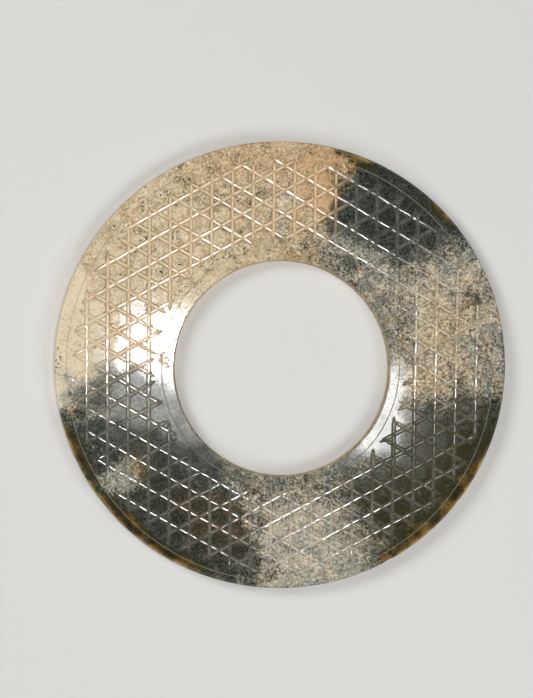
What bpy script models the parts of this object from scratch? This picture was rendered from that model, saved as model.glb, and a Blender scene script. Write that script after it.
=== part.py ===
"""A jade bi disc: a thin ring of nephrite with a round hole, carved with a rush mat pattern.

Three families of straight grooves cross on the upper face and leave rows of six-sided bosses.
An incised circle runs inside the rim and another round the hole, on both faces.
Metres, +Z up. The disc lies on its plain face: the origin is the middle of its outline, on the
surface that it lies on. +Y is the top of the carved face as it is read.
"""

import math
import random
from typing import NamedTuple

import bmesh
import bpy
from mathutils import Matrix, Vector

# Body of the disc
OUTER_DIAMETER = 0.1400
OUTLINE_OVALITY = 0.00037  # the hand-cut outline reaches this much further out along X
THICKNESS = 0.0045
RIM_ROUNDING = 0.0006
HOLE_DIAMETER = 0.0674
HOLE_SHIFT = (0.00025, -0.00104)  # the hole sits a little off the middle of the outline
BORE_TAPER = 0.0003  # drilled from both faces, so the wall stands in by this at mid height
BORE_LIP = 0.0003  # soft edge at each mouth of the hole

# Incised border circles, drawn with one compass point
COMPASS_SHIFT = (-0.00012, -0.00060)
OUTER_BORDER = 0.0033  # from the rim to the outer circle
INNER_BORDER = 0.0035  # from the hole to the inner circle
BORDER_LINE_WIDTH = 0.00045
BORDER_LINE_DEPTH = 0.00018

# Grooves of the rush mat pattern
GROOVE_WIDTH = 0.0016
GROOVE_DEPTH = 0.00035
GROOVE_RUN_OUT = 0.0022  # the cut rises to nothing over this length at each end
FIELD_MARGIN = 0.0016  # bare strip between a border circle and the ends of the grooves
END_SCATTER = 0.0006  # how far the ends of the grooves miss their line

# How finely the round faces are divided
ROUNDNESS = 0.00007  # the flat sides of a circle stay this near to it
RIM_STEPS = 2

CUT_SEED = 7
MATERIAL_COLOUR = (0.42, 0.39, 0.30, 1.0)


class GrooveFamily(NamedTuple):
    """Parallel grooves as a hand cuts them: nearly even, with a slow drift and a slight fan."""

    normal_deg: float  # direction across groove 0, from +X
    fan_deg: float  # turn from each groove to the next
    pitch: float
    first: float  # distance of groove 0 from the compass point
    drift: float = 0.0  # growth of the pitch from each groove to the next


FAMILIES = (
    GrooveFamily(normal_deg=-0.6, fan_deg=-0.065, pitch=0.00640, first=-0.00269),
    GrooveFamily(normal_deg=60.0, fan_deg=-0.060, pitch=0.00632, first=-0.00343, drift=0.000026),
    GrooveFamily(normal_deg=118.5, fan_deg=0.080, pitch=0.00635, first=0.00199, drift=0.000038),
)

OUTER_RADIUS = OUTER_DIAMETER / 2
HOLE_RADIUS = HOLE_DIAMETER / 2
OUTER_LINE_RADIUS = OUTER_RADIUS - OUTER_BORDER
INNER_LINE_RADIUS = HOLE_RADIUS + INNER_BORDER
FIELD_OUTER_RADIUS = OUTER_LINE_RADIUS - FIELD_MARGIN
FIELD_INNER_RADIUS = INNER_LINE_RADIUS + FIELD_MARGIN


def clear_scene():
    for old in list(bpy.data.objects):
        bpy.data.objects.remove(old, do_unlink=True)


def new_collection(name):
    collection = bpy.data.collections.new(name)
    bpy.context.scene.collection.children.link(collection)
    return collection


def object_from_bmesh(bm, name, collection):
    mesh = bpy.data.meshes.new(name)
    bm.to_mesh(mesh)
    bm.free()
    obj = bpy.data.objects.new(name, mesh)
    collection.objects.link(obj)
    return obj


def as_cutter(obj):
    obj.hide_render = True
    obj.display_type = "WIRE"
    return obj


def sides_of(radius):
    """How many sides a circle of this radius needs, as a multiple of four."""
    half_side_angle = math.acos(1 - ROUNDNESS / radius)
    return 4 * math.ceil(math.pi / half_side_angle / 4)


def jade_material():
    material = bpy.data.materials.new("jade")
    material.use_nodes = True
    shader = material.node_tree.nodes["Principled BSDF"]
    shader.inputs["Base Color"].default_value = MATERIAL_COLOUR
    shader.inputs["Roughness"].default_value = 0.28
    shader.inputs["Metallic"].default_value = 0.0
    return material


def disc_blank(collection):
    """The slab before drilling: a short cylinder with rounded rims, a little wider than tall."""
    bm = bmesh.new()
    bmesh.ops.create_cone(
        bm,
        cap_ends=True,
        segments=sides_of(OUTER_RADIUS),
        radius1=OUTER_RADIUS,
        radius2=OUTER_RADIUS,
        depth=THICKNESS,
    )
    stretch = OUTLINE_OVALITY / OUTER_RADIUS
    oval = Matrix.Diagonal((1 + stretch, 1 - stretch, 1, 1))
    bmesh.ops.transform(bm, matrix=Matrix.Translation((0, 0, THICKNESS / 2)) @ oval, verts=bm.verts)
    blank = object_from_bmesh(bm, "bi_disc", collection)
    rounding = blank.modifiers.new("rim_rounding", "BEVEL")
    rounding.width = RIM_ROUNDING
    rounding.segments = RIM_STEPS
    rounding.limit_method = "ANGLE"
    rounding.angle_limit = math.radians(60)
    return blank


def turned_cutter(name, profile, radius, centre, collection):
    """A profile of (distance from the axis, height) points, turned about an upright axis at centre.

    The radius is that of the circle that it cuts. A profile that starts off the axis is a closed
    loop, so that it turns into a ring.
    """
    closed = profile[0][0] > 0
    bm = bmesh.new()
    verts = [bm.verts.new((outward, 0, height)) for outward, height in profile]
    for above, below in zip(verts, verts[1:]):
        bm.edges.new((above, below))
    if closed:
        bm.edges.new((verts[-1], verts[0]))
    cutter = object_from_bmesh(bm, name, collection)
    cutter.location = (centre[0], centre[1], 0)
    turn = cutter.modifiers.new("turn", "SCREW")
    turn.axis = "Z"
    turn.angle = math.tau
    turn.steps = sides_of(radius)
    turn.render_steps = sides_of(radius)
    turn.use_merge_vertices = True
    turn.merge_threshold = 0.00001
    return as_cutter(cutter)


def bore_cutter(collection):
    """The drill's path: narrowing from each face to a slight waist, wider at both mouths."""
    past_lip = HOLE_RADIUS + 2 * BORE_LIP
    profile = (
        (0, THICKNESS + BORE_LIP),
        (past_lip, THICKNESS + BORE_LIP),
        (HOLE_RADIUS, THICKNESS - BORE_LIP),
        (HOLE_RADIUS - BORE_TAPER, THICKNESS / 2),
        (HOLE_RADIUS, BORE_LIP),
        (past_lip, -BORE_LIP),
        (0, -BORE_LIP),
    )
    return turned_cutter("bore_cutter", profile, HOLE_RADIUS, HOLE_SHIFT, collection)


def border_cutters(collection):
    """Four V-shaped rings, one for each incised circle on each face."""
    depth = BORDER_LINE_DEPTH
    cutters = []
    for face_name, face_height, out in (("upper", THICKNESS, 1), ("lower", 0.0, -1)):
        for line_name, radius in (("outer", OUTER_LINE_RADIUS), ("inner", INNER_LINE_RADIUS)):
            keel = (radius, face_height - out * depth)
            beyond = (radius + BORDER_LINE_WIDTH, face_height + out * depth)
            within = (radius - BORDER_LINE_WIDTH, face_height + out * depth)
            profile = (beyond, keel, within) if out > 0 else (keel, beyond, within)
            name = f"{face_name}_{line_name}_line_cutter"
            cutters.append(turned_cutter(name, profile, radius, COMPASS_SHIFT, collection))
    return cutters


def chord_half(radius, distance):
    """Half the length of the chord that a line at this distance from the centre cuts in a circle."""
    return math.sqrt(radius**2 - distance**2) if abs(distance) < radius else 0.0


def groove_spans(family, rng):
    """Yields (normal angle, distance, start, end) for each groove that the carver cut.

    A line that would cross the hole is cut as two grooves, one on each side of it.
    """
    count = math.ceil(FIELD_OUTER_RADIUS / family.pitch)
    for index in range(-count, count + 1):
        distance = family.first + family.pitch * index + family.drift * index**2 / 2
        angle = math.radians(family.normal_deg + family.fan_deg * index)
        outer = chord_half(FIELD_OUTER_RADIUS, distance)
        inner = chord_half(FIELD_INNER_RADIUS, distance)
        spans = [(-outer, -inner), (inner, outer)] if inner else [(-outer, outer)]
        for start, end in spans:
            start += rng.uniform(-END_SCATTER, END_SCATTER)
            end += rng.uniform(-END_SCATTER, END_SCATTER)
            if end - start > 2 * GROOVE_RUN_OUT:
                yield angle, distance, start, end


def add_groove(bm, angle, distance, start, end):
    """A boat-shaped bar along one groove: a V across, whose keel rises to a point at each end.

    It stands as far above the face as it reaches below it, so it is twice the groove's size.
    """
    keel = THICKNESS - GROOVE_DEPTH
    deck = THICKNESS + GROOVE_DEPTH
    points = [
        (start + GROOVE_RUN_OUT, 0, keel),
        (end - GROOVE_RUN_OUT, 0, keel),
        (start - GROOVE_RUN_OUT, 0, deck),
        (end + GROOVE_RUN_OUT, 0, deck),
    ]
    for along in (start + GROOVE_RUN_OUT, end - GROOVE_RUN_OUT):
        points += [(along, -GROOVE_WIDTH, deck), (along, GROOVE_WIDTH, deck)]
    across = Vector((math.cos(angle), math.sin(angle), 0))
    place = Matrix.Translation(across * distance + Vector((*COMPASS_SHIFT, 0)))
    place = place @ Matrix.Rotation(angle + math.pi / 2, 4, "Z")
    verts = [bm.verts.new(place @ Vector(point)) for point in points]
    bmesh.ops.convex_hull(bm, input=verts)


def groove_cutter(collection):
    """Every groove of the pattern as one cutter."""
    rng = random.Random(CUT_SEED)
    bm = bmesh.new()
    for family in FAMILIES:
        for angle, distance, start, end in groove_spans(family, rng):
            add_groove(bm, angle, distance, start, end)
    flat = math.radians(0.3)
    bmesh.ops.dissolve_limit(bm, angle_limit=flat, verts=bm.verts, edges=bm.edges)
    bmesh.ops.recalc_face_normals(bm, faces=bm.faces)
    return as_cutter(object_from_bmesh(bm, "groove_cutter", collection))


def cut(obj, cutter, crosses_itself=False):
    boolean = obj.modifiers.new(cutter.name, "BOOLEAN")
    boolean.operation = "DIFFERENCE"
    boolean.solver = "EXACT"
    boolean.object = cutter
    boolean.use_self = crosses_itself


def build():
    clear_scene()
    parts = new_collection("bi_disc")
    cutters = new_collection("cutters")
    disc = disc_blank(parts)
    disc.data.materials.append(jade_material())
    cut(disc, bore_cutter(cutters))
    for ring in border_cutters(cutters):
        cut(disc, ring)
    cut(disc, groove_cutter(cutters), crosses_itself=True)


build()
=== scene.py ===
"""Looks of an aged jade bi disc, lying flat and seen from above.

The disc is one closed surface. Both faces are triangulated between rows of points that run along
every groove and incised circle, and their heights follow the groove's profile. The rim and the
wall of the hole are profiles carried round the two outlines. Its age (whitened, stained, soiled
and polished places) is laid out as named patches, in millimetres from the middle of the outline,
and broken up by the noise of one jade material.
"""

import logging
import math
import random
from dataclasses import dataclass, field
from enum import Enum

import bpy
import numpy as np
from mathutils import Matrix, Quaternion, Vector
from mathutils.geometry import delaunay_2d_cdt

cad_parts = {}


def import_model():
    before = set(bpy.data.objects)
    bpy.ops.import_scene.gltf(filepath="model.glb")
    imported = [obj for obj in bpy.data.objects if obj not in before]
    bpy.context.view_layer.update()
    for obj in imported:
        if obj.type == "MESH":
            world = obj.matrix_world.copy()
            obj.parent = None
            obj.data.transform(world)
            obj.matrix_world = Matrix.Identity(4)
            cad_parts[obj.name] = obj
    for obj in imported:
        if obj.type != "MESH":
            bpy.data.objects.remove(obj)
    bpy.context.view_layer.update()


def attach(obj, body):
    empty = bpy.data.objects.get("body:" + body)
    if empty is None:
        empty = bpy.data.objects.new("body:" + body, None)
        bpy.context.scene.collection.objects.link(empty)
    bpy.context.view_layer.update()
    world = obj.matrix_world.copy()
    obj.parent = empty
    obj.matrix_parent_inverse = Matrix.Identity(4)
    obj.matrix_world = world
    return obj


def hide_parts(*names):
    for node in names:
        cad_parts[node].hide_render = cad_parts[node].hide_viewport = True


LOG = logging.getLogger("bi_disc")
MM = 0.001

RIPPLE_WAVES = 12
RIPPLE_SPREAD = (0.6, 1.6)  # wavelengths of a ripple's waves, as shares of the middle one

RUN_OUT_ROWS = 5  # rows of points across each end of a groove
CROSSING_SHARE = 0.5  # what is kept of the stored share of depth where two middle lines cross
WOBBLE_PERIODS = (2, 3, 5, 8, 13)  # waves of hand wobble round an incised circle

OUTLINE_GAP = 0.5  # how near the ground's grid comes to an outline, in grid steps
ROW_GAP = 0.4  # the same to a groove or an incised circle
MERGE_REACH_MM = 1e-6  # points of a face that are nearer than this become one
UNEVEN_WAVELENGTH = 0.011
UNEVEN_SEED = 5

EDGE_STRAY = 0.16  # how far the edge of an age patch strays, as a share of its radius
EDGE_WAVELENGTH = 0.009
EDGE_SEED = 31

# The attribute 'wall' is 0 on the faces, and this on their edges, the rim and the hole's wall
EDGE_SHARE = 0.5
RIM_SHARE = 0.8
BORE_SHARE = 1.0

# Shares of depth above which a point counts as cut, and as the bottom of its cut
CUT_SHARE = 0.02
BOTTOM_SHARE = 0.92

# Blender's noise lies mostly between these
NOISE_LOW = 0.28
NOISE_HIGH = 0.72

# Aim of an overhead light: straight down, with a lean to +Y that fixes what it is turned from
OVERHEAD_AIM = (0.0, 0.0001, -0.95)


class Face(Enum):
    """The two faces of the disc: the carved one that shows, and the one that it lies on."""

    UPPER = 1
    LOWER = -1


def smooth_step(low: float, high: float, value: np.ndarray) -> np.ndarray:
    """Rises from 0 at low to 1 at high along 3t^2 - 2t^3.

    Args:
        low: where the rise starts; it may be above high, and then the result falls.
        high: where the rise ends.
        value: the numbers to map.

    Returns:
        An array of the same shape, from 0 to 1.
    """
    t = np.clip((value - low) / (high - low), 0.0, 1.0)
    return t * t * (3.0 - 2.0 * t)


def ripple(x: np.ndarray, y: np.ndarray, wavelength: float, seed: int) -> np.ndarray:
    """A gentle unevenness: plane waves of random direction and phase, added up.

    Args:
        x: places along X, in metres.
        y: places along Y, in metres.
        wavelength: middle wavelength of the waves, in metres.
        seed: picks the directions and phases.

    Returns:
        Heights that mostly lie from -1 to 1.
    """
    rng = np.random.default_rng(seed)
    angle = rng.uniform(0.0, math.tau, RIPPLE_WAVES)
    phase = rng.uniform(0.0, math.tau, RIPPLE_WAVES)
    number = math.tau / (wavelength * rng.uniform(*RIPPLE_SPREAD, RIPPLE_WAVES))
    waves = np.outer(x, np.cos(angle) * number) + np.outer(y, np.sin(angle) * number)
    return np.sin(waves + phase).sum(axis=1) / math.sqrt(2.0 * RIPPLE_WAVES)


@dataclass(frozen=True)
class GrooveFamily:
    """Parallel grooves as a hand cuts them: nearly even, with a slow drift and a slight fan."""

    normal_deg: float  # direction across groove 0, from +X
    fan_deg: float  # turn from each groove to the next
    pitch: float
    first: float  # distance of groove 0 from the compass point
    drift: float = 0.0  # growth of the pitch from each groove to the next
    lift: float = 0.0  # how much shallower this family is cut


@dataclass(frozen=True)
class GrooveProfile:
    """A groove's cross section: depths at distances from its middle line."""

    distances: tuple[float, ...]
    depths: tuple[float, ...]

    def rails(self) -> np.ndarray:
        """Distances across the groove, on both sides, at which the mesh has a row of points."""
        half = np.array(self.distances)
        return np.concatenate([-half[:0:-1], half])

    def depth_at(self, distance: np.ndarray, raised: np.ndarray) -> np.ndarray:
        """Depth of the section when it is raised by some height and cut off at the face.

        Args:
            distance: distances from the middle line.
            raised: how far the section is raised there.

        Returns:
            The depths, never under 0.
        """
        section = np.interp(np.abs(distance), self.distances, self.depths)
        return np.maximum(section - raised, 0.0)


@dataclass(frozen=True)
class Grooves:
    """Every groove of one face, one row of each array for each groove."""

    across: np.ndarray
    along: np.ndarray
    foot: np.ndarray
    start: np.ndarray
    end: np.ndarray
    lift: np.ndarray

    def coordinates(self, points: np.ndarray) -> tuple[np.ndarray, np.ndarray]:
        """Distance across and place along each groove, for every point.

        Args:
            points: (n, 2) places on the face.

        Returns:
            Two (n, grooves) arrays: (point - foot) . across and (point - foot) . along.
        """
        across = points @ self.across.T - np.sum(self.foot * self.across, axis=1)
        along = points @ self.along.T - np.sum(self.foot * self.along, axis=1)
        return across, along


@dataclass
class RushMat:
    """The rush mat pattern of one face: three families of grooves between two circles."""

    families: tuple[GrooveFamily, ...]
    centre: tuple[float, float]
    inner_radius: float
    outer_radius: float
    profile: GrooveProfile
    run_out: float  # a cut rises to nothing over this length at each end
    end_scatter: float  # how far the ends miss their circle
    crossing_reach: float  # how far round a crossing of middle lines its share drops
    seed: int

    def lay_out(self) -> Grooves:
        """Places every groove. A line that would cross the hole becomes two grooves.

        Returns:
            The grooves, each from where it meets the inner or outer circle to where it ends.
        """
        rng = random.Random(self.seed)
        rows = []
        for family in self.families:
            count = math.ceil(self.outer_radius / family.pitch)
            for index in range(-count, count + 1):
                distance = family.first + family.pitch * index + family.drift * index**2 / 2
                angle = math.radians(family.normal_deg + family.fan_deg * index)
                outer = math.sqrt(max(self.outer_radius**2 - distance**2, 0.0))
                inner = math.sqrt(max(self.inner_radius**2 - distance**2, 0.0))
                spans = [(-outer, -inner), (inner, outer)] if inner else [(-outer, outer)]
                for start, end in spans:
                    start += rng.uniform(-self.end_scatter, self.end_scatter)
                    end += rng.uniform(-self.end_scatter, self.end_scatter)
                    if end - start > 2 * self.run_out:
                        rows.append((angle, distance, start, end, family.lift))
        angle, distance, start, end, lift = np.array(rows).reshape(-1, 5).T
        across = np.stack([np.cos(angle), np.sin(angle)], axis=1)
        along = np.stack([-np.sin(angle), np.cos(angle)], axis=1)
        foot = across * distance[:, None] + np.array(self.centre)
        return Grooves(across, along, foot, start, end, lift)

    def rail_points(self, grooves: Grooves) -> tuple[np.ndarray, np.ndarray]:
        """Rows of points along every groove: foot + across * rail + along * station.

        Args:
            grooves: the grooves of this face.

        Returns:
            (n, 2) points, and (m, 2) pairs of them that a mesh edge joins.
        """
        steps = np.linspace(0.0, self.run_out, RUN_OUT_ROWS)
        stations = np.concatenate(
            [grooves.start[:, None] + steps, grooves.end[:, None] - steps[::-1]], axis=1
        )
        rails = self.profile.rails()
        points = (
            grooves.foot[:, None, None, :]
            + grooves.across[:, None, None, :] * rails[None, :, None, None]
            + grooves.along[:, None, None, :] * stations[:, None, :, None]
        )
        index = np.arange(points.shape[0] * points.shape[1] * points.shape[2])
        index = index.reshape(points.shape[:3])
        edges = np.stack([index[:, :, :-1].ravel(), index[:, :, 1:].ravel()], axis=1)
        return points.reshape(-1, 2), edges

    def clearance(self, grooves: Grooves, points: np.ndarray) -> np.ndarray:
        """Distance from each point to the nearest groove's edge, 0 inside a groove.

        Args:
            grooves: the grooves of this face.
            points: (n, 2) places on the face.

        Returns:
            (n,) distances.
        """
        across, along = grooves.coordinates(points)
        aside = np.maximum(np.abs(across) - self.profile.distances[-1], 0.0)
        beyond = np.maximum(np.maximum(grooves.start - along, along - grooves.end), 0.0)
        return np.hypot(aside, beyond).min(axis=1, initial=np.inf)

    def depth(self, grooves: Grooves, points: np.ndarray) -> tuple[np.ndarray, np.ndarray]:
        """Depth of the deepest groove at each point.

        A groove's section rises towards each end, over the run-out, until only its middle line
        is left and then nothing. Where two middle lines cross, the share drops to half.

        Args:
            grooves: the grooves of this face.
            points: (n, 2) places on the face.

        Returns:
            (n,) depths below the face, and (n,) the same as a share of the depth of that groove's
            own middle line, short of its run-outs.
        """
        if not self.families:
            return np.zeros(len(points)), np.zeros(len(points))
        across, along = grooves.coordinates(points)
        inside = np.minimum(along - grooves.start, grooves.end - along)
        raised = (1.0 - np.clip(inside / self.run_out, 0.0, 1.0)) * self.profile.depths[0]
        depths = self.profile.depth_at(across, raised + grooves.lift)
        deepest = depths.argmax(axis=1)
        depth = depths[np.arange(len(points)), deepest]
        share = depth / (self.profile.depths[0] - grooves.lift[deepest])
        pair = np.argpartition(-depths, 1, axis=1)[:, :2]
        away = np.abs(np.take_along_axis(across, pair, axis=1)).max(axis=1)
        crossed = np.take_along_axis(depths, pair, axis=1).min(axis=1) > 0.0
        near = np.where(crossed, np.clip(1.0 - away / self.crossing_reach, 0.0, 1.0), 0.0)
        return depth, share * (1.0 - (1.0 - CROSSING_SHARE) * near)


@dataclass(frozen=True)
class BorderCircle:
    """An incised circle: its radius, its hand wobble and its section."""

    radius: float
    wobble: float
    seed: int
    sides: int
    profile: GrooveProfile

    def radius_at(self, angle: np.ndarray) -> np.ndarray:
        """Radius plus a slow wobble round the circle: a few sine waves of whole periods.

        Args:
            angle: directions from the compass point, in radians.

        Returns:
            The radius in each direction.
        """
        rng = np.random.default_rng(self.seed)
        periods = np.array(WOBBLE_PERIODS)
        phase = rng.uniform(0.0, math.tau, periods.size)
        height = rng.uniform(0.3, 1.0, periods.size) / np.sqrt(periods)
        waves = np.sin(np.outer(angle, periods) + phase) @ height
        return self.radius + self.wobble * waves

    def points(self, centre: tuple[float, float]) -> tuple[np.ndarray, np.ndarray]:
        """Rows of points round the circle: centre + (radius(angle) + rail) * direction.

        Args:
            centre: the compass point.

        Returns:
            (n, 2) points, and (m, 2) pairs of them that a mesh edge joins.
        """
        angle = np.linspace(0.0, math.tau, self.sides, endpoint=False)
        rails = self.profile.rails()
        radius = self.radius_at(angle)[None, :] + rails[:, None]
        points = np.stack([radius * np.cos(angle), radius * np.sin(angle)], axis=-1)
        index = np.arange(rails.size * self.sides).reshape(rails.size, self.sides)
        edges = np.stack([index.ravel(), np.roll(index, -1, axis=1).ravel()], axis=1)
        return points.reshape(-1, 2) + np.array(centre), edges

    def distance(self, centre: tuple[float, float], points: np.ndarray) -> np.ndarray:
        """Signed distance from the incised line to each point, outwards.

        Args:
            centre: the compass point.
            points: (n, 2) places on the face.

        Returns:
            (n,) distances.
        """
        x, y = (points - np.array(centre)).T
        return np.hypot(x, y) - self.radius_at(np.arctan2(y, x))


@dataclass(frozen=True)
class Patch:
    """An ellipse of the aged surface in which one property takes a value.

    Sizes are in millimetres from the middle of the outline. Softness is the share of the ellipse
    over which it fades out on each side of its edge.
    """

    name: str
    x: float
    y: float
    width: float
    height: float
    value: float
    turn_deg: float = 0.0
    softness: float = 0.4

    def weight(self, x: np.ndarray, y: np.ndarray, warp: np.ndarray) -> np.ndarray:
        """1 well inside the ellipse and 0 well outside it.

        Args:
            x: places along X, in millimetres.
            y: places along Y, in millimetres.
            warp: a number from -1 to 1 at each place, which makes the edge uneven.

        Returns:
            A smooth step of the elliptic radius sqrt((u/a)^2 + (v/b)^2), warped.
        """
        turn = math.radians(self.turn_deg)
        u = (x - self.x) * math.cos(turn) + (y - self.y) * math.sin(turn)
        v = -(x - self.x) * math.sin(turn) + (y - self.y) * math.cos(turn)
        radius = np.hypot(u / (self.width / 2), v / (self.height / 2)) + EDGE_STRAY * warp
        return smooth_step(1.0 + self.softness, 1.0 - self.softness, radius)


@dataclass(frozen=True)
class AgeMap:
    """One property over the disc: a value all over, and patches laid on it in order."""

    name: str
    everywhere: float
    patches: tuple[Patch, ...]

    def values(self, points: np.ndarray) -> np.ndarray:
        """The property at each point.

        Args:
            points: (n, 3) places on the disc, in metres.

        Returns:
            (n,) values.
        """
        x, y = points[:, 0] / MM, points[:, 1] / MM
        warp = ripple(points[:, 0], points[:, 1], EDGE_WAVELENGTH, EDGE_SEED)
        value = np.full(x.size, self.everywhere)
        for patch in self.patches:
            value += (patch.value - value) * patch.weight(x, y, warp)
        return value


@dataclass
class FaceSheet:
    """One face of the disc as a flat triangulation with heights."""

    side: Face
    pattern: RushMat
    circles: tuple[BorderCircle, ...]
    fill: float  # step of the grid on the plain ground
    unevenness: float

    def triangulate(
        self, outline: np.ndarray, hole: np.ndarray, hole_centre: np.ndarray
    ) -> tuple[np.ndarray, np.ndarray]:
        """Constrained Delaunay triangulation between the outline and the hole.

        Its points are the two outlines, the rows along grooves and circles, the crossings of
        those rows, and a hexagonal grid on the plain ground between them.

        Args:
            outline: (n, 2) points round the outside.
            hole: (m, 2) points round the hole.
            hole_centre: the hole's middle.

        Returns:
            (k, 2) points that start with the outline's and the hole's, and (j, 3) triangles.
        """
        grooves = self.pattern.lay_out()
        parts = [outline, hole]
        edges = [self.ring(0, len(outline)), self.ring(len(outline), len(hole))]
        rows = [self.pattern.rail_points(grooves)]
        rows += [circle.points(self.pattern.centre) for circle in self.circles]
        count = len(outline) + len(hole)
        for points, pairs in rows:
            parts.append(points)
            edges.append(pairs + count)
            count += len(points)
        parts.append(self.ground(grooves, outline, hole, hole_centre))
        flat = np.concatenate(parts) / MM
        joined = np.concatenate(edges).tolist()
        corners = [Vector(point) for point in flat.tolist()]
        found = delaunay_2d_cdt(corners, joined, [], 0, MERGE_REACH_MM, False)
        points = np.array(found[0]) * MM
        triangles = np.array(found[2])
        middle = points[triangles].mean(axis=1) - hole_centre
        hole_radius = np.hypot(*(hole[0] - hole_centre)) * math.cos(math.pi / len(hole))
        triangles = triangles[np.hypot(middle[:, 0], middle[:, 1]) > hole_radius]
        return points, triangles

    @staticmethod
    def ring(first: int, count: int) -> np.ndarray:
        """Pairs of neighbours round a closed ring of points."""
        index = np.arange(count)
        return np.stack([index, np.roll(index, -1)], axis=1) + first

    def ground(
        self, grooves: Grooves, outline: np.ndarray, hole: np.ndarray, hole_centre: np.ndarray
    ) -> np.ndarray:
        """A hexagonal grid of points on the plain ground, clear of every row.

        Args:
            grooves: the grooves of this face.
            outline: (n, 2) points round the outside.
            hole: (m, 2) points round the hole.
            hole_centre: the hole's middle.

        Returns:
            (k, 2) points.
        """
        reach = np.abs(outline).max()
        count = int(reach / self.fill) + 2
        column, row = np.meshgrid(np.arange(-count, count + 1), np.arange(-count, count + 1))
        x = (column + 0.5 * (row % 2)) * self.fill
        y = row * self.fill * math.sqrt(3.0) / 2
        points = np.stack([x.ravel(), y.ravel()], axis=1)
        half = np.abs(outline).max(axis=0) - OUTLINE_GAP * self.fill
        points = points[np.hypot(points[:, 0] / half[0], points[:, 1] / half[1]) < 1.0]
        hole_radius = np.hypot(*(hole[0] - hole_centre)) + OUTLINE_GAP * self.fill
        points = points[np.hypot(*(points - hole_centre).T) > hole_radius]
        for circle in self.circles:
            clear = np.abs(circle.distance(self.pattern.centre, points))
            points = points[clear > circle.profile.distances[-1] + ROW_GAP * self.fill]
        return points[self.pattern.clearance(grooves, points) > ROW_GAP * self.fill]

    def sink(self, points: np.ndarray) -> tuple[np.ndarray, np.ndarray, np.ndarray]:
        """How far each point lies below the true face.

        Args:
            points: (n, 2) places on the face.

        Returns:
            (n,) depths; (n,) shares of a groove's depth; (n,) shares of a circle's depth.
        """
        depth, carving = self.pattern.depth(self.pattern.lay_out(), points)
        circle_depth = np.zeros(len(points))
        for circle in self.circles:
            away = circle.distance(self.pattern.centre, points)
            drawn = circle.profile.depth_at(away, np.zeros(away.size))
            circle_depth = np.maximum(circle_depth, drawn)
        seed = UNEVEN_SEED + self.side.value
        uneven = ripple(points[:, 0], points[:, 1], UNEVEN_WAVELENGTH, seed)
        ground = self.unevenness * (1.0 + np.clip(uneven, -1.0, 1.0))
        circles = circle_depth / self.circles[0].profile.depths[0]
        return ground + np.maximum(depth, circle_depth), carving, circles


@dataclass(frozen=True)
class Chip:
    """A small flake lost from the upper edge of the rim: its direction, width and bite."""

    angle_deg: float
    width: float
    bite: float

    def inset(self, angle: np.ndarray, radius: float) -> np.ndarray:
        """How far it sets the outline in at each angle: bite * (1 - (2 arc / width)^2), above 0."""
        turn = (angle - math.radians(self.angle_deg) + math.pi) % math.tau - math.pi
        return self.bite * np.clip(1.0 - (2.0 * turn * radius / self.width) ** 2, 0.0, 1.0)


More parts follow.
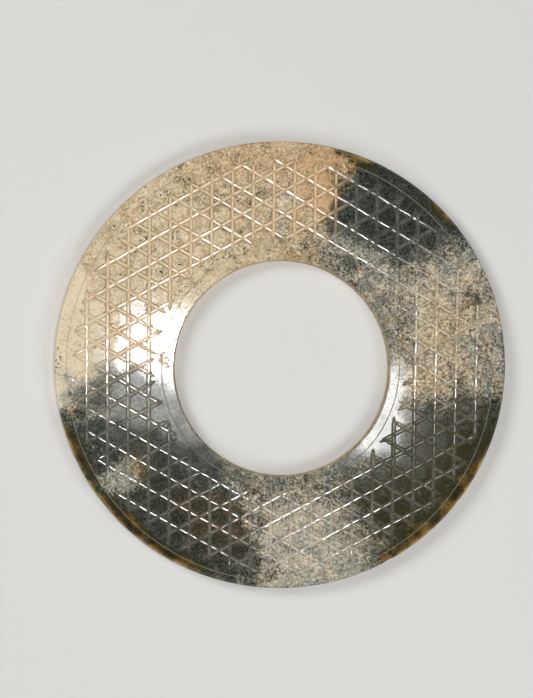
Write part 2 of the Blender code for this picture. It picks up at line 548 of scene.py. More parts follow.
@dataclass
class JadeDisc:
    """The whole disc as one closed mesh."""

    outer_radius: float = 0.0700
    ovality: float = 0.00037
    thickness: float = 0.0045
    rim_rounding: float = 0.0006
    hole_radius: float = 0.0337
    hole_lip: float = 0.0003
    hole_taper: float = 0.0003
    hole_centre: tuple[float, float] = (0.00025, -0.00104)
    compass_point: tuple[float, float] = (-0.00012, -0.00060)
    outer_border: float = 0.0033
    inner_border: float = 0.0035
    field_margin: float = 0.0016
    run_out: float = 0.0022
    end_scatter: float = 0.0006
    crossing_reach: float = 0.0005
    cut_seed: int = 7
    unevenness: float = 0.000007
    carved_grid: float = 0.00068
    plain_grid: float = 0.00135
    rim_sides: int = 480
    hole_sides: int = 320
    rim_steps: int = 6
    lip_rows: tuple[tuple[float, float], ...] = ((0.45, 0.25), (0.1, 0.65), (-0.1, 1.3))
    taper_row: tuple[float, float] = (0.75, 0.68)
    families: tuple[GrooveFamily, ...] = (
        GrooveFamily(-0.6, -0.065, 0.00640, -0.00269, 0.0, 0.00004),
        GrooveFamily(60.0, -0.060, 0.00632, -0.00343, 0.000026, 0.00007),
        GrooveFamily(118.5, 0.080, 0.00635, 0.00199, 0.000038, 0.0),
    )
    groove: GrooveProfile = GrooveProfile(
        (0.0, 0.00020, 0.00040, 0.00062, 0.00076), (0.00034, 0.000326, 0.00022, 0.00012, 0.0)
    )
    incision: GrooveProfile = GrooveProfile((0.0, 0.00008, 0.00016), (0.00012, 0.00007, 0.0))
    chips: tuple[Chip, ...] = (
        Chip(218.6, 0.0052, 0.00042),
        Chip(206.0, 0.0030, 0.00025),
        Chip(298.6, 0.0036, 0.00038),
        Chip(322.0, 0.0028, 0.00022),
    )
    age: tuple[AgeMap, ...] = field(default_factory=tuple)

    def face(self, side: Face) -> FaceSheet:
        """The sheet for one face: the hidden one has the two circles and no grooves.

        Args:
            side: which face.

        Returns:
            The sheet, ready to triangulate.
        """
        upper = side is Face.UPPER
        outer_line = self.outer_radius - self.outer_border
        inner_line = self.hole_radius + self.inner_border
        pattern = RushMat(
            families=self.families if upper else (),
            centre=self.compass_point,
            inner_radius=inner_line + self.field_margin,
            outer_radius=outer_line - self.field_margin,
            profile=self.groove,
            run_out=self.run_out,
            end_scatter=self.end_scatter,
            crossing_reach=self.crossing_reach,
            seed=self.cut_seed,
        )
        circles = (
            BorderCircle(outer_line, wobble=0.00012, seed=3, sides=520, profile=self.incision),
            BorderCircle(inner_line, wobble=0.00010, seed=4, sides=320, profile=self.incision),
        )
        grid = self.carved_grid if upper else self.plain_grid
        return FaceSheet(side, pattern, circles, grid, self.unevenness)

    def outline(self, inset: float, height: float) -> np.ndarray:
        """The slightly oval outline: ((a - inset) cos t, (b - inset) sin t).

        Args:
            inset: how far it lies inside the widest outline.
            height: height above the floor. The chips grow from half height to the upper face.

        Returns:
            (n, 2) points.
        """
        angle = np.linspace(0.0, math.tau, self.rim_sides, endpoint=False)
        chipped = sum(chip.inset(angle, self.outer_radius) for chip in self.chips)
        inset = inset + chipped * np.clip(2.0 * height / self.thickness - 1.0, 0.0, 1.0)
        across = self.outer_radius + self.ovality - inset
        tall = self.outer_radius - self.ovality - inset
        return np.stack([across * np.cos(angle), tall * np.sin(angle)], axis=1)

    def hole_ring(self, radius: float) -> np.ndarray:
        """A ring round the hole's own middle: centre + radius (cos t, sin t).

        Args:
            radius: the ring's radius.

        Returns:
            (n, 2) points.
        """
        angle = np.linspace(0.0, math.tau, self.hole_sides, endpoint=False)
        ring = np.stack([radius * np.cos(angle), radius * np.sin(angle)], axis=1)
        return ring + np.array(self.hole_centre)

    def rim_rows(self) -> list[tuple[float, float]]:
        """Rows down the rim: a quarter circle, the wall, and a quarter circle.

        Returns:
            (inset, height) of each row.
        """
        turn = np.linspace(0.0, math.pi / 2, self.rim_steps)
        inset = self.rim_rounding * (1.0 - np.sin(turn))
        drop = self.rim_rounding * (1.0 - np.cos(turn))
        upper = list(zip(inset, self.thickness - drop))
        lower = list(zip(inset[::-1], drop[::-1]))
        return upper[1:] + [(0.0, self.thickness / 2)] + lower[:-1]

    def hole_rows(self) -> list[tuple[float, float]]:
        """Rows down the wall of the hole: a lip, a taper to the waist, and the same below.

        A lip row is (outwards, down) in shares of the lip, and the taper row is the share of the
        taper reached at a share of the thickness.

        Returns:
            (radius, height) of each row.
        """
        lip, radius = self.hole_lip, self.hole_radius
        half = [(radius + out * lip, self.thickness - down * lip) for out, down in self.lip_rows]
        narrowed, height = self.taper_row
        half.append((radius - narrowed * self.hole_taper, self.thickness * height))
        mirrored = [(r, self.thickness - z) for r, z in reversed(half)]
        return half + [(radius - self.hole_taper, self.thickness / 2)] + mirrored

    def wall(
        self, rows: list[np.ndarray], first: np.ndarray, last: np.ndarray, start: int
    ) -> tuple[np.ndarray, np.ndarray]:
        """Triangles between rings of points, from one ring of a face to one of the other.

        Args:
            rows: (n, 3) rings between them, in order.
            first: (n,) numbers of the points on the upper face.
            last: (n,) numbers of the points on the lower face.
            start: number of the first new point.

        Returns:
            (k, 3) new points, and (j, 3) triangles.
        """
        count = first.size
        points = np.concatenate(rows)
        new = start + np.arange(len(points)).reshape(len(rows), count)
        index = np.concatenate([first[None], new, last[None]])
        here, beside = index, np.roll(index, -1, axis=1)
        one = np.stack([here[:-1], here[1:], beside[:-1]], axis=-1).reshape(-1, 3)
        two = np.stack([beside[:-1], here[1:], beside[1:]], axis=-1).reshape(-1, 3)
        return points, np.concatenate([one, two])

    def sheet(
        self, side: Face, hole: np.ndarray
    ) -> tuple[np.ndarray, np.ndarray, np.ndarray]:
        """One face at its height, with its outline's points first and the hole's next.

        Args:
            side: which face.
            hole: (m, 2) points round the hole.

        Returns:
            (n, 3) points, (j, 3) triangles that face outwards, and an (n, 3) array of shares: how
            deep in a groove, how deep in an incised circle, and the edge's share of 'wall'.
        """
        upper = side is Face.UPPER
        face = self.face(side)
        outline = self.outline(self.rim_rounding, self.thickness if upper else 0.0)
        flat, triangles = face.triangulate(outline, hole, np.array(self.hole_centre))
        sunk, carving, circles = face.sink(flat)
        height = self.thickness - sunk if upper else sunk
        wall = np.zeros(len(flat))
        wall[: len(outline) + len(hole)] = EDGE_SHARE
        LOG.info("%s face: %d points, %d triangles", side.name.lower(), len(flat), len(triangles))
        points = np.column_stack([flat, height])
        shares = np.column_stack([carving, circles, wall])
        return points, triangles if upper else triangles[:, ::-1], shares

    def surface(self) -> tuple[np.ndarray, np.ndarray, np.ndarray]:
        """The closed surface: two faces, the rim and the wall of the hole.

        Returns:
            (n, 3) points, (m, 3) triangles that face outwards, and an (n, 3) array of shares:
            how deep in a groove, how deep in an incised circle, and how much of a wall.
        """
        hole = self.hole_ring(self.hole_radius + self.hole_lip)
        points, triangles, shares, starts = [], [], [], []
        count = 0
        for side in Face:
            new, faces, share = self.sheet(side, hole)
            points.append(new)
            triangles.append(faces + count)
            shares.append(share)
            starts.append(count)
            count += len(new)
        rim = [
            np.column_stack([self.outline(inset, z), np.full(self.rim_sides, z)])
            for inset, z in self.rim_rows()
        ]
        bore = [
            np.column_stack([self.hole_ring(radius), np.full(self.hole_sides, z)])
            for radius, z in self.hole_rows()
        ]
        walls = ((rim, 0, RIM_SHARE, 1), (bore, self.rim_sides, BORE_SHARE, -1))
        for rows, first, share, order in walls:
            ring = np.arange(len(rows[0])) + first
            new, faces = self.wall(rows, ring + starts[0], ring + starts[1], count)
            points.append(new)
            triangles.append(faces[:, ::order])
            shares.append(np.tile([0.0, 0.0, share], (len(new), 1)))
            count += len(new)
        return np.concatenate(points), np.concatenate(triangles), np.concatenate(shares)

    def build(self, material: bpy.types.Material) -> bpy.types.Object:
        """Makes the disc's object, with its carving and its age as attributes.

        Args:
            material: the jade.

        Returns:
            The object, at the origin.
        """
        points, triangles, shares = self.surface()
        used, renumbered = np.unique(triangles, return_inverse=True)
        points, shares = points[used], shares[used]
        triangles = renumbered.reshape(triangles.shape)
        mesh = bpy.data.meshes.new("jade_disc")
        mesh.from_pydata(points.tolist(), [], triangles.tolist())
        mesh.polygons.foreach_set("use_smooth", np.ones(len(mesh.polygons), dtype=bool))
        self.crisp_edges(mesh, shares[triangles])
        for column, name in enumerate(("carving", "circle", "wall")):
            self.store(mesh, name, shares[:, column])
        for age_map in self.age:
            self.store(mesh, age_map.name, age_map.values(points))
        mesh.update()
        mesh.materials.append(material)
        disc = bpy.data.objects.new("jade_disc", mesh)
        bpy.context.scene.collection.objects.link(disc)
        LOG.info("disc: %d points, %d triangles", len(points), len(triangles))
        return disc

    @staticmethod
    def crisp_edges(mesh: bpy.types.Mesh, shares: np.ndarray) -> None:
        """Breaks the shading along the faces' edges, every cut and every cut's narrow bottom.

        An edge is crisp where only one of its two triangles is cut, or is a bottom, or a wall.

        Args:
            mesh: the disc's mesh, of triangles alone.
            shares: (n, 3, 3) shares of groove, circle and wall at each triangle's corners.
        """
        depth = shares[:, :, :2].max(axis=2)
        edge_of_corner = np.empty(len(mesh.loops), dtype=np.int32)
        mesh.loops.foreach_get("edge_index", edge_of_corner)
        crisp = np.zeros(len(mesh.edges), dtype=bool)
        wall = shares[:, :, 2].max(axis=1) > EDGE_SHARE
        for inside in (depth.max(axis=1) > CUT_SHARE, depth.min(axis=1) > BOTTOM_SHARE, wall):
            crisp |= np.bincount(edge_of_corner, np.repeat(inside, 3), len(mesh.edges)) == 1
        attribute = mesh.attributes.new("sharp_edge", "BOOLEAN", "EDGE")
        attribute.data.foreach_set("value", crisp)

    @staticmethod
    def store(mesh: bpy.types.Mesh, name: str, values: np.ndarray) -> None:
        """Keeps one number for each point as a named attribute of the mesh."""
        attribute = mesh.attributes.new(name, "FLOAT", "POINT")
        attribute.data.foreach_set("value", values.astype(np.float32))


Colour = tuple[float, float, float]
Socket = bpy.types.NodeSocket


@dataclass(frozen=True)
class Noise:
    """One noise over the object.

    Its largest lumps measure about size_mm. Detail is how many finer layers it has and roughness
    how strong they are. Shift moves it, so that two of one size differ, and twist draws its lumps
    out into threads.
    """

    size_mm: float
    detail: float = 3.0
    roughness: float = 0.55
    shift: float = 0.0
    twist: float = 0.0


class NodeBoard:
    """Adds and joins the nodes of one material."""

    def __init__(self, name: str) -> None:
        """Starts a material with its shader, its output and the object's coordinates.

        Args:
            name: the material's name.
        """
        self.material = bpy.data.materials.new(name)
        self.material.use_nodes = True
        self.tree = self.material.node_tree
        self.shader = self.tree.nodes["Principled BSDF"]
        self.place = self.add("ShaderNodeTexCoord").outputs["Object"]

    def add(self, kind: str, **settings: object) -> bpy.types.Node:
        """Adds a node and sets its properties.

        Args:
            kind: the node's type.
            settings: properties and their values.

        Returns:
            The node.
        """
        node = self.tree.nodes.new(kind)
        for key, value in settings.items():
            setattr(node, key, value)
        return node

    def feed(self, socket: Socket, value: Socket | float | Colour) -> None:
        """Links a socket to another, or sets its number or colour.

        Args:
            socket: an input of a node.
            value: another node's output, a number or a colour.
        """
        if isinstance(value, bpy.types.NodeSocket):
            self.tree.links.new(value, socket)
        elif isinstance(value, tuple):
            socket.default_value = (*value, 1.0)
        else:
            socket.default_value = value

    def attribute(self, name: str) -> Socket:
        """Reads a number that the mesh holds at each point."""
        return self.add("ShaderNodeAttribute", attribute_name=name).outputs["Fac"]

    def noise(self, kind: Noise) -> Socket:
        """Noise on the object's own coordinates, stretched to run from 0 to 1.

        Args:
            kind: its size, layers, shift and twist.

        Returns:
            The noise's value.
        """
        mapping = self.add("ShaderNodeMapping")
        mapping.inputs["Location"].default_value = (kind.shift, -kind.shift, kind.shift * 0.5)
        self.feed(mapping.inputs["Vector"], self.place)
        node = self.add("ShaderNodeTexNoise")
        self.feed(node.inputs["Vector"], mapping.outputs["Vector"])
        node.inputs["Scale"].default_value = 1.0 / MM / kind.size_mm
        node.inputs["Detail"].default_value = kind.detail
        node.inputs["Roughness"].default_value = kind.roughness
        node.inputs["Distortion"].default_value = kind.twist
        stretch = self.add("ShaderNodeMapRange")
        self.feed(stretch.inputs["Value"], node.outputs["Fac"])
        stretch.inputs["From Min"].default_value = NOISE_LOW
        stretch.inputs["From Max"].default_value = NOISE_HIGH
        return stretch.outputs["Result"]

    def math(
        self, operation: str, one: Socket | float, two: Socket | float = 0.0, clamp: bool = False
    ) -> Socket:
        """One arithmetic step on two numbers.

        Args:
            operation: the step's name.
            one: the first number.
            two: the second number.
            clamp: whether the result is kept from 0 to 1.

        Returns:
            The result.
        """
        node = self.add("ShaderNodeMath", operation=operation, use_clamp=clamp)
        self.feed(node.inputs[0], one)
        self.feed(node.inputs[1], two)
        return node.outputs["Value"]

    def times(self, *values: Socket | float) -> Socket:
        """The product of numbers.

        Args:
            values: two numbers or more.

        Returns:
            The product.
        """
        product = values[0]
        for value in values[1:]:
            product = self.math("MULTIPLY", product, value)
        return product

    def rise(self, value: Socket, low: float, high: float, top: float = 1.0) -> Socket:
        """Smooth step of a number from 0 at low to top at high. High may lie under low."""
        return self.spread(value, low, high, 0.0, top)

    def ridge(self, noise: Socket, narrow: float, wide: float) -> Socket:
        """Thin lines along the noise's middle: 1 where |noise - 0.5| < narrow, 0 past wide."""
        away = self.math("ABSOLUTE", self.math("SUBTRACT", noise, 0.5))
        return self.rise(away, wide, narrow)

    def spread(self, value: Socket, low: float, high: float, start: float, end: float) -> Socket:
        """Smooth step of a number from start at low to end at high.

        Args:
            value: the number.
            low: where the step starts. It may be above high.
            high: where the step ends.
            start: the result at low and before it.
            end: the result at high and past it.

        Returns:
            The result.
        """
        node = self.add("ShaderNodeMapRange", interpolation_type="SMOOTHSTEP")
        self.feed(node.inputs["Value"], value)
        node.inputs["From Min"].default_value = low
        node.inputs["From Max"].default_value = high
        node.inputs["To Min"].default_value = start
        node.inputs["To Max"].default_value = end
        return node.outputs["Result"]

    def swing(self, value: Socket, noise: Socket, amount: Socket | float) -> Socket:
        """Moves a number by noise: value + (noise - 0.5) * amount.

        Args:
            value: the number.
            noise: noise from 0 to 1.
            amount: how far apart the noise's ends put the result.

        Returns:
            The result.
        """
        centred = self.math("SUBTRACT", noise, 0.5)
        node = self.add("ShaderNodeMath", operation="MULTIPLY_ADD")
        self.feed(node.inputs[0], centred)
        self.feed(node.inputs[1], amount)
        self.feed(node.inputs[2], value)
        return node.outputs["Value"]

    def ramp(self, value: Socket, stops: tuple[tuple[float, Colour], ...]) -> Socket:
        """A colour read from a row of stops.

        Args:
            value: the place in the row.
            stops: places from 0 to 1 with their colours, in order.

        Returns:
            The colour.
        """
        node = self.add("ShaderNodeValToRGB")
        elements = node.color_ramp.elements
        while len(elements) < len(stops):
            elements.new(0.5)
        for element, (position, colour) in zip(elements, stops):
            element.position = position
            element.color = (*colour, 1.0)
        self.feed(node.inputs["Fac"], value)
        return node.outputs["Color"]

    def mix(self, factor: Socket | float, one: Socket | Colour, two: Socket | Colour) -> Socket:
        """Blends two colours, by those of the Mix node's sockets that take colours.

        Args:
            factor: share of the second colour.
            one: the first colour.
            two: the second colour.

        Returns:
            The blend.
        """
        factor_in, one_in, two_in, result = 0, 6, 7, 2
        node = self.add("ShaderNodeMix", data_type="RGBA")
        self.feed(node.inputs[factor_in], factor)
        self.feed(node.inputs[one_in], one)
        self.feed(node.inputs[two_in], two)
        return node.outputs[result]


@dataclass(frozen=True)
class AgedJade:
    """Nephrite after two thousand years: fresh green-black, whitened, stained and soiled.

    The attribute 'white' runs from fresh stone at 0 to whitened at 1, and 'warm' from grey-green
    to tan. 'amber', 'rust', 'flecks' and 'soil' are amounts, and 'polish' is the gloss.
    """

    cool: tuple[tuple[float, Colour], ...] = (
        (0.0, (0.004, 0.005, 0.003)),
        (0.25, (0.018, 0.0215, 0.0155)),
        (0.50, (0.105, 0.112, 0.088)),
        (0.75, (0.350, 0.340, 0.275)),
        (1.0, (0.700, 0.650, 0.520)),
    )
    warm: tuple[tuple[float, Colour], ...] = (
        (0.0, (0.012, 0.007, 0.002)),
        (0.25, (0.090, 0.050, 0.016)),
        (0.50, (0.300, 0.185, 0.072)),
        (0.75, (0.600, 0.450, 0.265)),
        (1.0, (0.850, 0.710, 0.485)),
    )
    honey: tuple[tuple[float, Colour], ...] = (
        (0.0, (0.010, 0.008, 0.002)),
        (0.35, (0.040, 0.029, 0.008)),
        (0.70, (0.150, 0.094, 0.024)),
        (1.0, (0.380, 0.250, 0.085)),
    )
    olive: Colour = (0.037, 0.034, 0.008)
    orange: Colour = (0.640, 0.330, 0.130)
    rust_colour: Colour = (0.260, 0.095, 0.030)
    slope_colour: Colour = (0.630, 0.385, 0.180)
    # painted shade: the dark brown laid along the outer edge of every cut
    edge_shade_colour: Colour = (0.120, 0.076, 0.034)
    fleck_colour: Colour = (0.028, 0.030, 0.021)
    vein_colour: Colour = (0.250, 0.262, 0.230)
    line_cool: Colour = (0.345, 0.350, 0.300)
    line_pale: Colour = (0.620, 0.600, 0.510)
    line_warm: Colour = (0.900, 0.760, 0.550)
    # painted highlight: the pale line along the incised circles on dark stone
    circle_glint_colour: Colour = (0.340, 0.310, 0.230)
    circle_warm: Colour = (0.400, 0.280, 0.155)
    bore_colour: Colour = (0.560, 0.390, 0.170)
    matt: float = 0.90
    polished: float = 0.052
    index_of_refraction: float = 1.61
    pore_depth: float = 0.000002
    pore_strength: float = 0.6
    grain: Noise = Noise(0.60, 1.0, 0.5)
    threads: Noise = Noise(1.5, 4.0, 0.7, 0.2, 1.2)
    clouds: Noise = Noise(3.6, 4.0, 0.62, 0.3)
    drifts: Noise = Noise(5.5, 3.0, 0.6, 0.7)
    veins: Noise = Noise(1.3, 4.0, 0.7, 2.6, 2.4)
    olive_mottle: Noise = Noise(2.4, 4.0, 0.7, 4.7)
    honey_glow: Noise = Noise(6.0, 5.0, 0.65, 0.9)
    fleck_clusters: Noise = Noise(4.6, 3.0, 0.6, 1.7)
    fleck_specks: Noise = Noise(0.62, 2.0, 0.6, 1.3, 0.8)
    rust_spots: Noise = Noise(1.7, 4.0, 0.65, 1.1)
    dust_breaks: Noise = Noise(4.0, 3.0, 0.6, 4.2)
    bore_stain: Noise = Noise(1.5, 3.0, 0.6, 3.1)
    polish_edge: Noise = Noise(1.1, 3.0, 0.6, 0.4)
    wear: Noise = Noise(3.0, 2.0, 0.5, 5.1)
    pores: Noise = Noise(0.9, 3.0, 0.55, 2.0, 0.6)

    def stone(self, board: NodeBoard) -> Socket:
        """The stone's own colour, from fresh green-black to whitened cream or tan.

        Whiteness is its map plus noise of three sizes, quieter where the stone is smooth, and
        warmth is its map plus two noises. Together they pick the colour from two rows of stops.

        Args:
            board: the material under construction.

        Returns:
            A colour.
        """
        grain, clouds = board.noise(self.grain), board.noise(self.clouds)
        plain, mild = board.attribute("white"), board.attribute("warm")
        calm = board.times(
            board.spread(board.attribute("polish"), 0.92, 1.10, 1.0, 0.40),
            board.spread(plain, 0.10, 0.50, 0.80, 1.0),
        )
        loud = board.times(calm, board.spread(plain, 0.60, 0.86, 0.54, 0.30))
        white = board.swing(plain, grain, loud)
        loud = board.times(calm, board.spread(plain, 0.66, 0.86, 0.44, 0.26))
        white = board.swing(white, board.noise(self.threads), loud)
        white = board.swing(white, clouds, board.spread(plain, 0.30, 0.60, 0.36, 0.25))
        warm = board.swing(board.swing(mild, clouds, 0.28), board.noise(self.drifts), 0.42)
        cool_stone, warm_stone = board.ramp(white, self.cool), board.ramp(white, self.warm)
        colour = board.mix(board.rise(warm, 0.15, 0.85), cool_stone, warm_stone)
        orange = board.times(board.rise(mild, 0.90, 1.30, 0.75), clouds)
        colour = board.mix(orange, colour, self.orange)
        veined = board.times(
            board.ridge(board.noise(self.veins), 0.01, 0.07), board.rise(plain, 0.60, 0.20, 0.62)
        )
        colour = board.mix(veined, colour, self.vein_colour)
        return self.honeyed(board, colour, grain, clouds)

    def honeyed(self, board: NodeBoard, colour: Socket, grain: Socket, clouds: Socket) -> Socket:
        """Lays olive and honey-coloured stains, and a painted glow where they turn the rim.

        Args:
            board: the material under construction.
            colour: the stone's colour.
            grain: its finest noise.
            clouds: its broadest noise.

        Returns:
            A colour.
        """
        amber = board.attribute("amber")
        olive = board.times(board.rise(amber, 0.0, 0.35, 1.35), board.noise(self.olive_mottle))
        colour = board.mix(olive, colour, self.olive)
        honey_tone_and_glow = board.swing(board.noise(self.honey_glow), grain, 0.20)
        # Painted glow: the honey is made lighter on the rim and lightest on the hole's wall
        honey_tone_and_glow = board.math("ADD", board.swing(honey_tone_and_glow, board.attribute("wall"), 0.5), 0.2)
        stained = board.rise(board.swing(amber, clouds, 0.5), 0.45, 0.85)
        return board.mix(stained, colour, board.ramp(honey_tone_and_glow, self.honey))

    def speckled(self, board: NodeBoard, colour: Socket) -> Socket:
        """Lays clusters of dark flecks on the uncut ground, and rust spots.

        Args:
            board: the material under construction.
            colour: the colour under them.

        Returns:
            A colour.
        """
        flecked = board.times(
            board.rise(board.noise(self.fleck_specks), 0.58, 0.74),
            board.rise(board.noise(self.fleck_clusters), 0.38, 0.80),
            board.rise(board.attribute("carving"), 0.30, 0.02),
            board.attribute("flecks"),
        )
        colour = board.mix(flecked, colour, self.fleck_colour)
        rust = board.swing(board.attribute("rust"), board.noise(self.rust_spots), 0.75)
        return board.mix(board.rise(rust, 0.52, 0.85, 0.8), colour, self.rust_colour)

    def carved(self, board: NodeBoard, colour: Socket) -> Socket:
        """Colours cuts and hole: soiled slopes, painted edge shade, dust in bottoms, a stain.

        Args:
            board: the material under construction.
            colour: the colour under them.

        Returns:
            A colour.
        """
        carving, soil = board.attribute("carving"), board.attribute("soil")
        slope = board.times(board.rise(carving, 0.36, 0.60, 0.62), soil)
        colour = board.mix(slope, colour, self.slope_colour)
        # Painted shade: darker brown along the outer edge of every cut, a little stronger where
        # soiled
        edge = board.times(
            board.rise(carving, 0.0, 0.2),
            board.rise(carving, 0.55, 0.35, 0.8),
            board.math("MAXIMUM", soil, 0.60),
        )
        colour = board.mix(edge, colour, self.edge_shade_colour)
        white, warmth = board.attribute("white"), board.rise(board.attribute("warm"), 0.35, 0.90)
        dust = board.mix(board.rise(white, 0.35, 0.75), self.line_cool, self.line_pale)
        dust = board.mix(warmth, dust, self.line_warm)
        broad = board.times(
            board.rise(carving, 0.60, 0.95),
            board.rise(soil, 0.5, 0.1, 0.46),
            board.noise(self.dust_breaks),
            board.spread(white, 0.50, 0.72, 1.0, 0.5),
        )
        fine = board.times(board.rise(carving, 0.90, 0.98), board.rise(soil, 0.0, 0.5, 0.75))
        colour = board.mix(board.math("MAXIMUM", fine, broad), colour, dust)
        # Painted highlight: a pale line along the incised circles where the stone is dark; on tan
        # stone it is a darker brown line
        drawn = board.mix(warmth, self.circle_glint_colour, self.circle_warm)
        colour = board.mix(board.rise(board.attribute("circle"), 0.15, 0.9, 0.7), colour, drawn)
        bore = board.rise(board.attribute("wall"), RIM_SHARE, BORE_SHARE)
        return board.mix(board.times(bore, board.noise(self.bore_stain)), colour, self.bore_colour)

    def gloss(self, board: NodeBoard) -> Socket:
        """Roughness: polished on uncut ground and in the worn bottoms of grooves, else matt.

        Args:
            board: the material under construction.

        Returns:
            A number.
        """
        carving, polish = board.attribute("carving"), board.attribute("polish")
        bright = board.swing(polish, board.noise(self.polish_edge), 0.60)
        ground = board.times(board.rise(bright, 0.46, 0.50), board.rise(carving, 0.004, 0.0))
        worn = board.swing(polish, board.noise(self.wear), 0.70)
        glint = board.times(
            board.rise(carving, 0.90, 0.94),
            board.rise(worn, 0.14, 0.20),
            board.spread(polish, 0.28, 0.40, 0.84, 1.0),
        )
        walls = board.rise(board.attribute("wall"), 0.44, 0.49)
        shine = board.math("SUBTRACT", board.math("MAXIMUM", ground, glint), walls, clamp=True)
        shine = board.times(shine, board.rise(board.attribute("circle"), 0.3, 0.0))
        return board.spread(shine, 0.0, 1.0, self.matt, self.polished)

    def build(self) -> bpy.types.Material:
        """Makes the material.

        Returns:
            The finished jade.
        """
        board = NodeBoard("aged_jade")
        shader = board.shader
        colour = self.carved(board, self.speckled(board, self.stone(board)))
        board.feed(shader.inputs["Base Color"], colour)
        board.feed(shader.inputs["Roughness"], self.gloss(board))
        shader.inputs["IOR"].default_value = self.index_of_refraction
        bump = board.add("ShaderNodeBump")
        bump.inputs["Strength"].default_value = self.pore_strength
        bump.inputs["Distance"].default_value = self.pore_depth
        board.feed(bump.inputs["Height"], board.noise(self.pores))
        board.feed(shader.inputs["Normal"], bump.outputs["Normal"])
        return board.material


@dataclass(frozen=True)
class StudioFloor:
    """A plain pale surface under the disc."""

    size: float = 4.0
    colour: Colour = (0.80, 0.79, 0.77)
    roughness: float = 0.85

    def build(self) -> bpy.types.Object:
        """Makes the floor, with its top at the height that the disc lies on.

        Returns:
            The floor.
        """
        half = self.size / 2
        corners = [(-half, -half, 0.0), (half, -half, 0.0), (half, half, 0.0), (-half, half, 0.0)]
        mesh = bpy.data.meshes.new("studio_floor")
        mesh.from_pydata(corners, [], [(0, 1, 2, 3)])
        board = NodeBoard("pale_paper")
        board.feed(board.shader.inputs["Base Color"], self.colour)
        board.shader.inputs["Roughness"].default_value = self.roughness
        mesh.materials.append(board.material)
        floor = bpy.data.objects.new("studio_floor", mesh)
        bpy.context.scene.collection.objects.link(floor)
        return floor


@dataclass(frozen=True)
class SoftBox:
    """One soft light: where it hangs, its size, its strength and its turn about its aim.

    It points at the middle of the disc, or straight down if it hangs overhead.
    """

    name: str
    place: tuple[float, float, float]
    width: float
    height: float
    watts: float
    turn_deg: float = 0.0
    overhead: bool = False

    def build(self) -> bpy.types.Object:
        """Makes the area light.

        Returns:
            The light.
        """
        light = bpy.data.lights.new(self.name, "AREA")
        light.shape = "RECTANGLE"
        light.size = self.width
        light.size_y = self.height
        light.energy = self.watts
        lamp = bpy.data.objects.new(self.name, light)
        lamp.location = self.place
        aim = Vector(OVERHEAD_AIM) if self.overhead else -Vector(self.place)
        turn = Quaternion((0.0, 0.0, 1.0), math.radians(self.turn_deg))
        lamp.rotation_euler = (aim.to_track_quat("-Z", "Y") @ turn).to_euler()
        bpy.context.scene.collection.objects.link(lamp)
        return lamp


@dataclass(frozen=True)
class Studio:
    """Camera, lights and background."""

    camera_height: float = 0.90
    camera_lean_deg: float = 4.0
    frame_width: float = 0.1660
    look_at: tuple[float, float, float] = (-0.0046, 0.0049, 0.0045)
    clip_start: float = 0.01
    background: float = 0.06
    boxes: tuple[SoftBox, ...] = (
        SoftBox("strip_box", (0.0364, -0.0014, 0.95), 0.125, 0.022, 2.1, -14.7, True),
        SoftBox("strip_end", (0.1235, -0.0303, 0.95), 0.055, 0.055, 0.14, -14.7, True),
        SoftBox("sheen_left", (0.0120, -0.0300, 0.95), 0.095, 0.044, 0.038, -14.7, True),
        SoftBox("sheen_right", (0.1400, -0.0500, 0.95), 0.064, 0.044, 0.009, -14.7, True),
        SoftBox("left_box", (-0.85, 0.53, 0.85), 0.6, 0.6, 8.1),
        SoftBox("right_box", (0.70, -0.40, 0.75), 0.5, 0.5, 3.2),
        SoftBox("low_box", (0.0, -0.90, 0.80), 0.5, 0.5, 2.6),
    )

    def build(self) -> None:
        """Makes the camera, the lights and an even background light."""
        lean = math.radians(self.camera_lean_deg)
        aim = Vector(self.look_at)
        offset = Vector((-math.sin(lean), 0.0, math.cos(lean))) * self.camera_height
        camera = bpy.data.cameras.new("camera")
        camera.sensor_fit = "HORIZONTAL"
        camera.angle = 2 * math.atan(self.frame_width / 2 / self.camera_height)
        camera.clip_start = self.clip_start
        eye = bpy.data.objects.new("camera", camera)
        eye.location = aim + offset
        eye.rotation_euler = (0.0, -lean, 0.0)
        bpy.context.scene.collection.objects.link(eye)
        bpy.context.scene.camera = eye
        for box in self.boxes:
            box.build()
        world = bpy.data.worlds.new("soft_background")
        world.use_nodes = True
        sky = world.node_tree.nodes["Background"]
        sky.inputs["Color"].default_value = (1.0, 1.0, 1.0, 1.0)
        sky.inputs["Strength"].default_value = self.background
        bpy.context.scene.world = world
        bpy.context.scene.view_settings.view_transform = "Standard"


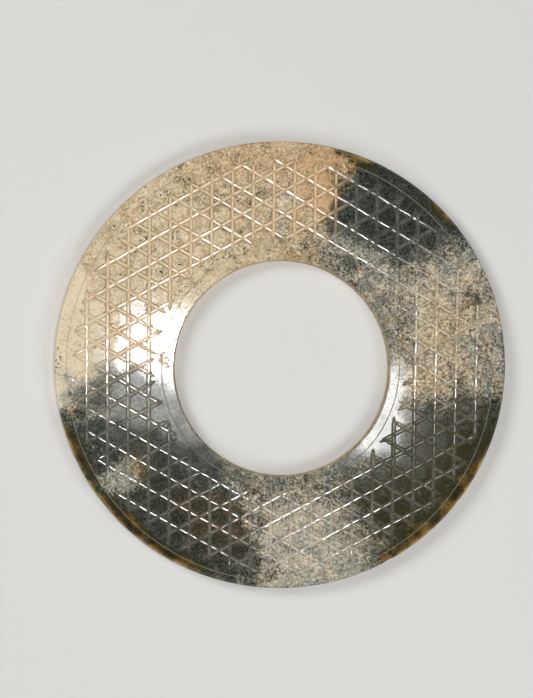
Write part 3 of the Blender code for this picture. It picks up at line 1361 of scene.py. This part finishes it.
WHITENING = AgeMap(
    "white",
    0.60,
    (
        Patch("whitened upper left", -40.0, 30.0, 84.0, 76.0, 0.84),
        Patch("whitened left edge", -66.0, 4.0, 22.0, 54.0, 1.04, 0.0, 0.3),
        Patch("top, above the hole", 2.0, 56.0, 56.0, 34.0, 0.76),
        Patch("fresh upper right", 39.0, 47.0, 46.0, 28.0, 0.13, -38.0, 0.24),
        Patch("fresh upper right, left end", 22.5, 44.0, 17.0, 17.0, 0.20, 30.0, 0.35),
        Patch("fresh spot upper right", 35.0, 43.0, 15.0, 9.0, 0.08, 0.0, 0.5),
        Patch("dark rim upper right", 32.0, 60.0, 23.0, 9.0, 0.10, -30.0, 0.2),
        Patch("mottled right", 52.0, 14.0, 36.0, 46.0, 0.73),
        Patch("grey right, by the rim", 62.0, 2.0, 12.0, 26.0, 0.70, 10.0),
        Patch("grey spot right", 60.0, 20.5, 6.0, 5.0, 0.44),
        Patch("pale by the hole, upper right", 27.0, 29.0, 34.0, 13.0, 0.70, -42.0, 0.3),
        Patch("grey by the hole, upper right", 20.0, 31.5, 9.0, 6.0, 0.50, -35.0),
        Patch("grey by the hole, right", 37.0, 4.0, 9.0, 22.0, 0.63),
        Patch("fresh lower right", 45.5, -41.0, 68.0, 44.0, 0.17, 47.0, 0.3),
        Patch("fresh rim lower right", 60.0, -30.0, 34.0, 14.0, 0.10, 62.0, 0.5),
        Patch("fresh bottom right", 33.0, -51.0, 28.0, 19.0, 0.14, 36.0),
        Patch("grey below the hole, right", 25.0, -29.0, 16.0, 10.0, 0.52, 40.0),
        Patch("pale bottom", 7.0, -57.0, 54.0, 30.0, 0.79),
        Patch("fresh lower left", -38.5, -42.0, 76.0, 40.0, 0.25, -44.0, 0.2),
        Patch("fresh spots lower left", -30.0, -46.0, 44.0, 16.0, 0.16, -38.0, 0.8),
        Patch("fresh left", -60.0, -26.0, 14.0, 14.0, 0.26, 0.0, 0.4),
        # Partly painted sheen: the bosses left of the hole are set to a smooth blue-grey
        Patch("grey left of the hole", -46.0, -10.0, 38.0, 18.0, 0.54),
        Patch("pale patch lower left", -49.5, -35.0, 14.0, 11.0, 0.73, 30.0),
        Patch("smooth grey by the hole, lower left", -27.0, -28.0, 26.0, 10.0, 0.27, -45.0),
        # Partly painted sheen: this patch lightens the smooth border left of the hole to a pale
        # grey
        Patch("pale grey by the hole, left", -33.0, -14.5, 13.0, 18.0, 0.54, 20.0, 0.7),
    ),
)
WARMTH = AgeMap(
    "warm",
    0.30,
    (
        Patch("tan upper left", -38.0, 34.0, 92.0, 84.0, 0.88),
        Patch("tan left edge", -64.0, 0.0, 20.0, 40.0, 0.80),
        Patch("tan top", 2.0, 63.0, 64.0, 16.0, 1.08),
        Patch("orange above the hole", 13.5, 56.0, 17.0, 26.0, 1.35, 0.0, 0.5),
        Patch("green-black upper right", 40.0, 47.0, 48.0, 28.0, 0.10, -38.0, 0.2),
        Patch("green-black upper right, left end", 23.0, 43.0, 17.0, 18.0, 0.12, 30.0, 0.4),
        Patch("mottled right", 52.0, 12.0, 34.0, 44.0, 0.40),
        Patch("pink right", 50.0, 13.0, 14.0, 18.0, 0.64, -20.0, 0.8),
        Patch("pink right, lower", 48.0, -6.0, 18.0, 14.0, 0.62, 10.0, 0.8),
        Patch("olive lower right", 46.0, -39.0, 60.0, 40.0, 0.20, 50.0),
        Patch("grey bottom", 6.0, -54.0, 60.0, 34.0, 0.30),
        Patch("green-black lower left", -42.0, -34.0, 66.0, 36.0, 0.08, -44.0),
        Patch("ochre lower left", -44.0, -30.0, 6.0, 14.0, 0.62, 0.0, 0.6),
        Patch("brown lower left", -22.0, -47.0, 26.0, 14.0, 0.50, -30.0),
        # Partly painted sheen: the cool blue-grey left of the hole
        Patch("grey left of the hole", -44.0, -12.0, 40.0, 22.0, 0.05, -15.0),
    ),
)
AMBER = AgeMap(
    "amber",
    0.0,
    (
        Patch("olive lower right", 46.0, -39.0, 60.0, 40.0, 0.34, 50.0),
        Patch("olive lower left", -30.0, -44.0, 54.0, 24.0, 0.17, -38.0),
        Patch("honey rim lower left", -66.0, -28.0, 9.0, 26.0, 0.90, 24.0),
        Patch("honey rim lower left, broad", -50.0, -49.5, 34.0, 9.0, 0.94, -42.0),
        Patch("honey rim lower left, end", -34.0, -61.5, 22.0, 8.0, 0.85, -30.0),
        Patch("honey rim lower right", 57.5, -39.5, 32.0, 7.0, 0.92, 55.0),
        Patch("honey rim lower right, end", 42.5, -54.5, 20.0, 7.0, 0.85, 38.0),
        Patch("honey rim upper right", 24.0, 65.5, 14.0, 6.0, 0.75, -20.0),
        Patch("honey rim right", 52.0, 47.0, 12.0, 5.0, 0.70, -45.0),
    ),
)
RUST = AgeMap(
    "rust",
    0.05,
    (
        Patch("rust lower left", -12.0, -46.0, 30.0, 16.0, 0.42, -20.0),
        Patch("rust spot lower right", 33.0, -60.8, 4.0, 3.0, 0.95),
        Patch("rust right", 50.0, 10.0, 18.0, 30.0, 0.44),
        Patch("rust left edge", -64.0, -8.0, 10.0, 18.0, 0.34),
    ),
)
FLECKS = AgeMap(
    "flecks",
    0.90,
    (
        Patch("flecked upper left", -32.0, 34.0, 60.0, 54.0, 1.3, 30.0),
        Patch("clear outer band, left", -60.0, 26.0, 16.0, 44.0, 0.45, -25.0),
        Patch("flecked rim upper left", -54.0, 43.0, 6.0, 5.0, 1.8),
        Patch("flecked above the hole", 8.0, 35.0, 14.0, 6.0, 1.5),
        Patch("flecked right", 54.0, 14.0, 36.0, 50.0, 1.3),
    ),
)
SOIL = AgeMap(
    "soil",
    0.0,
    (
        Patch("soiled upper left", -38.0, 34.0, 90.0, 80.0, 0.72),
        Patch("soiled top", 3.0, 52.0, 32.0, 30.0, 0.62, 0.0, 0.3),
        Patch("washed left of the hole", -40.0, -11.0, 36.0, 18.0, 0.10),
    ),
)
POLISH = AgeMap(
    "polish",
    0.45,
    (
        Patch("polished upper right", 38.0, 49.0, 56.0, 30.0, 0.85, -38.0, 0.2),
        Patch("polished lower left", -40.0, -40.0, 78.0, 42.0, 0.85, -44.0, 0.2),
        Patch("polished lower right", 52.0, -35.0, 60.0, 36.0, 0.85, 54.0, 0.2),
        Patch("polished round the hole", 0.0, -1.0, 80.0, 80.0, 1.02, 0.0, 0.1),
        Patch("polished left of the hole", -40.0, 6.0, 34.0, 34.0, 0.60),
        Patch("crust left of the hole", -37.0, 1.0, 4.0, 6.0, 0.36, 20.0, 0.8),
        Patch("smooth, lower left of the hole", -46.0, -13.0, 42.0, 26.0, 1.10, -25.0),
        Patch("smooth border, lower left", -26.0, -27.0, 30.0, 10.0, 1.10, -45.0),
        Patch("smooth border, left", -33.0, -14.0, 13.0, 20.0, 1.12, 20.0),
        Patch("smooth, right of the hole", 37.0, -18.0, 34.0, 17.0, 1.06, 68.0, 0.3),
        Patch("matt right", 54.0, 12.0, 30.0, 60.0, 0.25),
    ),
)


def main() -> None:
    """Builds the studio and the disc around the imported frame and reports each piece."""
    logging.basicConfig(level=logging.INFO, format="%(message)s")
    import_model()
    Studio().build()
    StudioFloor().build()
    jade = AgedJade().build()
    disc = JadeDisc(age=(WHITENING, WARMTH, AMBER, RUST, FLECKS, SOIL, POLISH)).build(jade)
    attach(disc, "root")
    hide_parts("bi_disc")


if __name__ == "__main__":
    main()
